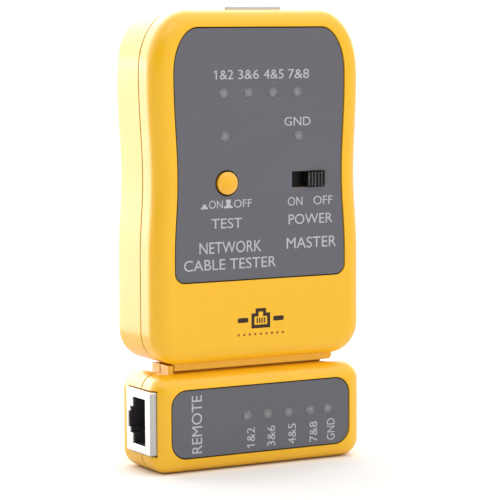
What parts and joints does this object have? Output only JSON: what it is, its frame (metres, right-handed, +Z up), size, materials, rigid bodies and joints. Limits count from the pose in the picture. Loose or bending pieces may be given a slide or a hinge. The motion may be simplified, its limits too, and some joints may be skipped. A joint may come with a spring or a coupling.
{
  "type": "network cable tester",
  "caption": "Hand-held network cable tester: a waisted master unit with indicator lights, push button and slide switch, docked on a small remote unit with its own modular jack.",
  "frame": {"origin": "middle of the remote unit's flat underside, which the tester stands on", "axes": "+Z up along the tester towards the master's jack, -Y out of the labelled front, +X to the right seen from the front"},
  "size_m": [0.0608, 0.0241, 0.1162],
  "materials": {
    "case": "satin moulded ABS, yellow",
    "label": "printed polycarbonate overlay, satin grey",
    "button": "satin moulded ABS, yellow",
    "black_plastic": "black moulded plastic",
    "lens": "water-clear epoxy",
    "shield": "tin-plated sheet steel",
    "screw_steel": "zinc-plated steel",
    "spring_steel": "bright spring wire",
    "contact_gold": "gold-flashed phosphor bronze",
    "board": "green solder mask on glass epoxy",
    "chip": "moulded epoxy package",
    "battery_jacket": "printed steel jacket",
    "red_insulation": "red PVC insulation",
    "black_insulation": "black PVC insulation"
  },
  "bodies": {
    "master": {"battery": "battery_jacket", "battery_snap": "black_plastic", "black_wire": "black_insulation", "controller_chip": "chip", "ground_light": "lens", "light_1_2": "lens", "light_3_6": "lens", "light_4_5": "lens", "light_7_8": "lens", "main_board": "board", "master_contact_1": "contact_gold", "master_contact_2": "contact_gold", "master_contact_3": "contact_gold", "master_contact_4": "contact_gold", "master_contact_5": "contact_gold", "master_contact_6": "contact_gold", "master_contact_7": "contact_gold", "master_contact_8": "contact_gold", "master_front_shell": "case", "master_jack_housing": "black_plastic", "master_jack_shield": "shield", "master_label": "label", "master_rear_shell": "case", "master_screw_1": "screw_steel", "master_screw_2": "screw_steel", "master_screw_3": "screw_steel", "master_screw_4": "screw_steel", "power_light": "lens", "power_switch_base": "black_plastic", "power_switch_frame": "shield", "red_wire": "red_insulation", "test_spring": "spring_steel", "test_switch": "black_plastic"},
    "remote": {"remote_board": "board", "remote_contact_1": "contact_gold", "remote_contact_2": "contact_gold", "remote_contact_3": "contact_gold", "remote_contact_4": "contact_gold", "remote_contact_5": "contact_gold", "remote_contact_6": "contact_gold", "remote_contact_7": "contact_gold", "remote_contact_8": "contact_gold", "remote_front_shell": "case", "remote_ground_light": "lens", "remote_jack_housing": "black_plastic", "remote_jack_shield": "shield", "remote_label": "label", "remote_light_1_2": "lens", "remote_light_3_6": "lens", "remote_light_4_5": "lens", "remote_light_7_8": "lens", "remote_rear_shell": "case", "remote_screw_1": "screw_steel", "remote_screw_2": "screw_steel"},
    "battery_door": {"battery_door": "case"},
    "test_button": {"test_button": "button", "test_plunger": "black_plastic"},
    "power_knob": {"power_knob": "black_plastic"}
  },
  "joints": [
    {"name": "test_button_press", "type": "slide", "parent": "master", "child": "test_button", "axis": [0, 1, 0], "range_m": [0, 0.0025], "stiffness_N_per_m": 300, "springref_m": -0.001, "deforming": ["test_spring"]},
    {"name": "power_switch_slide", "type": "slide", "parent": "master", "child": "power_knob", "axis": [-1, 0, 0], "range_m": [0, 0.00405]},
    {"name": "remote_slide_off", "type": "slide", "parent": "master", "child": "remote", "axis": [-1, 0, 0], "range_m": [0, 0.046]},
    {"name": "battery_door_swing", "type": "hinge", "parent": "master", "child": "battery_door", "pos_m": [0, 0.0115, 0.0314], "axis": [-1, 0, 0], "range_deg": [0, 45]}
  ]
}
